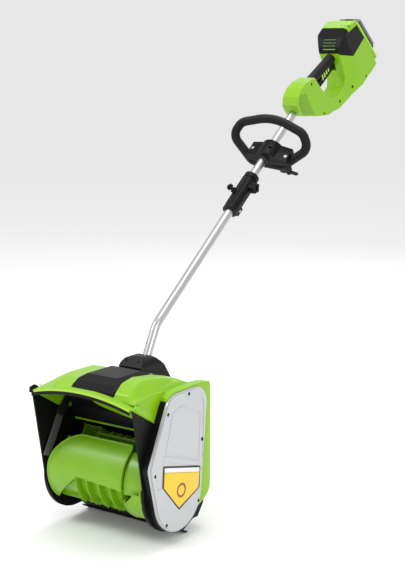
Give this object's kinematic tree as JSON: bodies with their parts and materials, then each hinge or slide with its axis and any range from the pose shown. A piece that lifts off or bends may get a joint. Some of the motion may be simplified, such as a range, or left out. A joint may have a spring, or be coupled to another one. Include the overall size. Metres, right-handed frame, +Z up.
{
  "type": "cordless snow shovel",
  "caption": "Cordless snow shovel with a paddle rotor in a hooded head, a belt cover, a jointed pole, a clamp-on loop handle and a battery rear handle.",
  "frame": {"origin": "centre of the scraper's ground strip, on the floor under the head", "axes": "+Z up, +Y from the mouth back towards the user, +X towards the belt cover"},
  "size_m": [0.3515, 1.3404, 1.2619],
  "materials": {
    "green_plastic": "satin moulded plastic",
    "dark_green_plastic": "satin moulded plastic in shade green",
    "bright_green_plastic": "smooth moulded plastic",
    "black_plastic": "fine textured moulded plastic",
    "silver_cover": "silver paint, satin",
    "tube_aluminium": "satin anodised",
    "steel_parts": "zinc plated",
    "black_screws": "black oxide",
    "dark_case": "dark coated",
    "belt_rubber": "moulded rubber",
    "liner_rubber": "soft liner",
    "grip_rubber": "soft grip",
    "grey_plastic": "light grey moulded plastic",
    "battery_plastic": "dark grey moulded plastic",
    "battery_end": "mid grey moulded plastic",
    "board_green": "lacquered board",
    "cell_wrap": "shrink wrap",
    "rotor_green": "moulded plastic with ribs"
  },
  "bodies": {
    "frame": {"hood_shell": "green_plastic", "lower_housing": "black_plastic", "side_plate_left": "black_plastic", "side_plate_right": "black_plastic", "side_screws": "steel_parts", "axle_cap": "black_plastic", "scraper_bar": "black_plastic", "scraper_screws": "steel_parts", "belt_housing": "black_plastic", "belt_cover": "silver_cover", "belt_cover_screws": "black_screws", "drive_belt": "belt_rubber", "bearing_left": "steel_parts", "bearing_right": "steel_parts", "motor_case": "dark_case", "motor_mount": "steel_parts", "motor_screws": "steel_parts", "motor_cover": "black_plastic", "motor_cover_screws": "steel_parts", "neck_socket": "black_plastic", "neck_bolts": "steel_parts", "lower_tube": "tube_aluminium"},
    "rotor": {"rotor_paddles": "rotor_green", "rotor_shaft": "steel_parts", "rotor_pulley": "black_plastic", "pulley_nut": "steel_parts"},
    "motor_rotor": {"motor_shaft": "steel_parts", "motor_pulley": "steel_parts"},
    "upper_pole": {"upper_tube": "tube_aluminium", "coupler_sleeve": "black_plastic", "coupler_bolt": "steel_parts", "housing_left": "green_plastic", "housing_right": "green_plastic", "housing_screws": "steel_parts", "hand_grip": "grip_rubber", "vent_cover": "black_plastic", "bay_frame": "bright_green_plastic", "trigger_pin": "steel_parts", "switch_box": "black_plastic", "control_board": "board_green", "terminal_block": "black_plastic"},
    "coupler_knob_body": {"coupler_knob": "black_plastic"},
    "coupler_button_body": {"coupler_button": "black_plastic"},
    "liner": {"clamp_liner": "liner_rubber"},
    "front_handle": {"loop_handle": "grip_rubber", "handle_saddle": "black_plastic", "saddle_screw": "steel_parts", "clamp_bolt": "steel_parts"},
    "wing": {"wing_knob": "black_plastic"},
    "trigger_body": {"trigger": "black_plastic"},
    "lock": {"lock_button": "grey_plastic"},
    "battery": {"battery_case": "battery_plastic", "battery_cap": "battery_end", "cell_pack": "cell_wrap"},
    "latch": {"battery_latch": "black_plastic"}
  },
  "joints": [
    {"name": "rotor_spin", "type": "hinge", "parent": "frame", "child": "rotor", "pos_m": [0, -0.07, 0.146], "axis": [1, 0, 0], "continuous": true},
    {"name": "motor_spin", "type": "hinge", "parent": "frame", "child": "motor_rotor", "pos_m": [0, -0.008, 0.311], "axis": [1, 0, 0], "continuous": true},
    {"name": "pole_split", "type": "slide", "parent": "frame", "child": "upper_pole", "axis": [0, 0.7837, 0.6211], "range_m": [0, 0.06]},
    {"name": "coupler_knob_turn", "type": "hinge", "parent": "upper_pole", "child": "coupler_knob_body", "pos_m": [0, 0.48155, 0.8023], "axis": [1, 0, 0], "range_deg": [0, 360]},
    {"name": "coupler_button_press", "type": "slide", "parent": "upper_pole", "child": "coupler_button_body", "axis": [0.5592, 0.515, -0.6497], "range_m": [0, 0.004], "stiffness_N_per_m": 400, "springref_m": -0.003},
    {"name": "handle_slide", "type": "slide", "parent": "upper_pole", "child": "liner", "axis": [0, 0.7837, 0.6211], "range_m": [-0.05, 0.05]},
    {"name": "handle_turn", "type": "hinge", "parent": "liner", "child": "front_handle", "pos_m": [0, 0.59832, 0.89485], "axis": [0, 0.7837, 0.6211], "range_deg": [-60, 60]},
    {"name": "wing_knob_turn", "type": "hinge", "parent": "front_handle", "child": "wing", "pos_m": [0.05324, 0.61764, 0.83988], "axis": [0.1736, -0.6117, 0.7718], "range_deg": [0, 360]},
    {"name": "trigger_pull", "type": "hinge", "parent": "upper_pole", "child": "trigger_body", "pos_m": [0, 0.94381, 1.14317], "axis": [-1, 0, 0], "range_deg": [0, 6], "stiffness_Nm_per_rad": 2, "springref_deg": -8.59},
    {"name": "lock_button_press", "type": "slide", "parent": "upper_pole", "child": "lock", "axis": [0, -0.7837, -0.6211], "range_m": [0, 0.004], "stiffness_N_per_m": 400, "springref_m": -0.003},
    {"name": "battery_slide", "type": "slide", "parent": "upper_pole", "child": "battery", "axis": [0, 0.6266, 0.7793], "range_m": [0, 0.1]},
    {"name": "battery_latch_press", "type": "slide", "parent": "battery", "child": "latch", "axis": [0, 0.7793, -0.6266], "range_m": [0, 0.004], "stiffness_N_per_m": 400, "springref_m": -0.003}
  ],
  "couplings": [
    {"joint": "motor_spin", "follows": "rotor_spin", "ratio": 3.4286}
  ]
}
